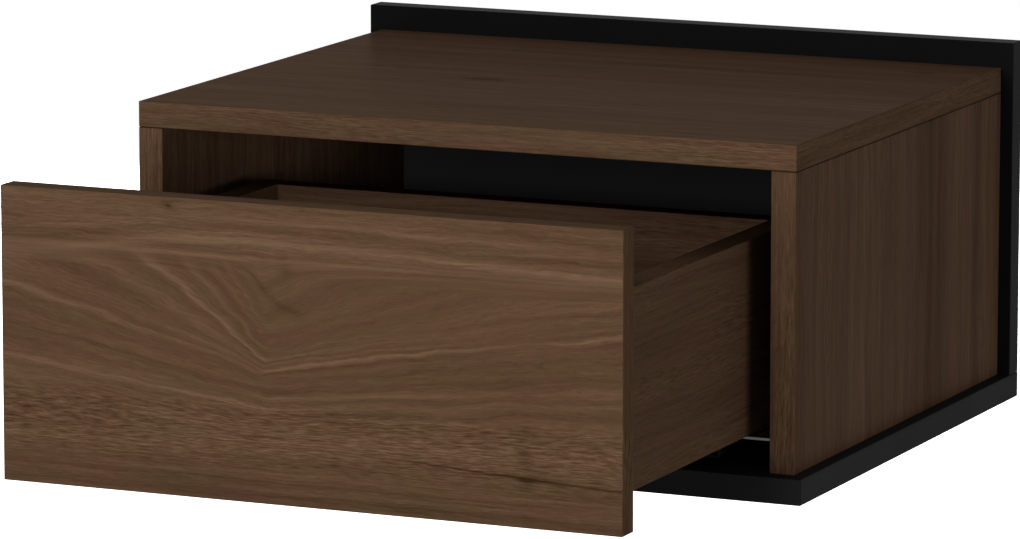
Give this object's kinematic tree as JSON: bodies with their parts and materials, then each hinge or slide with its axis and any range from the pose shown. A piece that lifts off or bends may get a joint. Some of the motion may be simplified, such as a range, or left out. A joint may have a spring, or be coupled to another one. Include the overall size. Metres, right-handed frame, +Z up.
{
  "type": "floating nightstand",
  "caption": "Wall-hung bedside cabinet with an inset push-to-open drawer on hidden full-extension runners, on black base and back boards.",
  "frame": {"origin": "middle of the face that meets the wall: half way across, half way up, on the rear face of the back board", "axes": "+X to the right seen from the front, +Y into the wall, +Z up"},
  "size_m": [0.45, 0.58, 0.23],
  "materials": {
    "walnut": "matt walnut-pattern laminate with a fine pore",
    "black_board": "matt black laminate",
    "zinc_steel": "bright zinc plated sheet steel",
    "screw_steel": "zinc plated",
    "beech": "plain fluted dowel",
    "nylon": "natural white nylon",
    "grey_plastic": "grey moulded plastic"
  },
  "bodies": {
    "cabinet": {"base_panel": "black_board", "back_panel": "black_board", "side_panel_left": "walnut", "side_panel_right": "walnut", "top_panel": "walnut", "base_screw_1": "screw_steel", "base_screw_2": "screw_steel", "base_screw_3": "screw_steel", "base_screw_4": "screw_steel", "back_screw_1": "screw_steel", "back_screw_2": "screw_steel", "back_screw_3": "screw_steel", "back_screw_4": "screw_steel", "top_dowel_1": "beech", "top_dowel_2": "beech", "top_dowel_3": "beech", "top_dowel_4": "beech", "hanger_plate_left": "zinc_steel", "hanger_plate_right": "zinc_steel", "cabinet_rail_left": "zinc_steel", "cabinet_rail_right": "zinc_steel", "rail_screw_left_1": "screw_steel", "rail_screw_left_2": "screw_steel", "rail_screw_right_1": "screw_steel", "rail_screw_right_2": "screw_steel", "latch_housing": "grey_plastic", "latch_spring": "screw_steel", "latch_screw_1": "screw_steel", "latch_screw_2": "screw_steel"},
    "drawer": {"drawer_front": "walnut", "drawer_side_left": "walnut", "drawer_side_right": "walnut", "drawer_rear": "walnut", "drawer_bottom": "walnut", "drawer_rail_left": "zinc_steel", "drawer_rail_right": "zinc_steel", "locking_clip_left": "grey_plastic", "locking_clip_right": "grey_plastic", "cam_bolt_1": "screw_steel", "cam_bolt_2": "screw_steel", "cam_bolt_3": "screw_steel", "cam_bolt_4": "screw_steel", "cam_disc_1": "screw_steel", "cam_disc_2": "screw_steel", "cam_disc_3": "screw_steel", "cam_disc_4": "screw_steel", "rear_screw_1": "screw_steel", "rear_screw_2": "screw_steel", "rear_screw_3": "screw_steel", "rear_screw_4": "screw_steel", "bottom_screw_1": "screw_steel", "bottom_screw_2": "screw_steel"},
    "middle_left": {"middle_rail_left": "zinc_steel"},
    "middle_right": {"middle_rail_right": "zinc_steel"},
    "rollers_lower_left": {"lower_cage_left": "nylon"},
    "rollers_lower_right": {"lower_cage_right": "nylon"},
    "rollers_upper_left": {"upper_cage_left": "nylon"},
    "rollers_upper_right": {"upper_cage_right": "nylon"},
    "plunger": {"latch_plunger": "nylon"}
  },
  "joints": [
    {"name": "drawer_slide", "type": "slide", "parent": "cabinet", "child": "drawer", "axis": [0, -1, 0], "range_m": [-0.214, 0.086]},
    {"name": "middle_left_slide", "type": "slide", "parent": "cabinet", "child": "middle_left", "axis": [0, -1, 0], "range_m": [-0.107, 0.043]},
    {"name": "middle_right_slide", "type": "slide", "parent": "cabinet", "child": "middle_right", "axis": [0, -1, 0], "range_m": [-0.107, 0.043]},
    {"name": "lower_left_roll", "type": "slide", "parent": "cabinet", "child": "rollers_lower_left", "axis": [0, -1, 0], "range_m": [-0.0535, 0.0215]},
    {"name": "lower_right_roll", "type": "slide", "parent": "cabinet", "child": "rollers_lower_right", "axis": [0, -1, 0], "range_m": [-0.0535, 0.0215]},
    {"name": "upper_left_roll", "type": "slide", "parent": "cabinet", "child": "rollers_upper_left", "axis": [0, -1, 0], "range_m": [-0.1605, 0.0645]},
    {"name": "upper_right_roll", "type": "slide", "parent": "cabinet", "child": "rollers_upper_right", "axis": [0, -1, 0], "range_m": [-0.1605, 0.0645]},
    {"name": "latch_push", "type": "slide", "parent": "cabinet", "child": "plunger", "axis": [0, 1, 0], "range_m": [0, 0.004], "stiffness_N_per_m": 300, "springref_m": -0.015, "deforming": ["latch_spring"]}
  ],
  "couplings": [
    {"joint": "middle_left_slide", "follows": "drawer_slide", "ratio": 0.5},
    {"joint": "middle_right_slide", "follows": "drawer_slide", "ratio": 0.5},
    {"joint": "lower_left_roll", "follows": "drawer_slide", "ratio": 0.25},
    {"joint": "lower_right_roll", "follows": "drawer_slide", "ratio": 0.25},
    {"joint": "upper_left_roll", "follows": "drawer_slide", "ratio": 0.75},
    {"joint": "upper_right_roll", "follows": "drawer_slide", "ratio": 0.75}
  ]
}
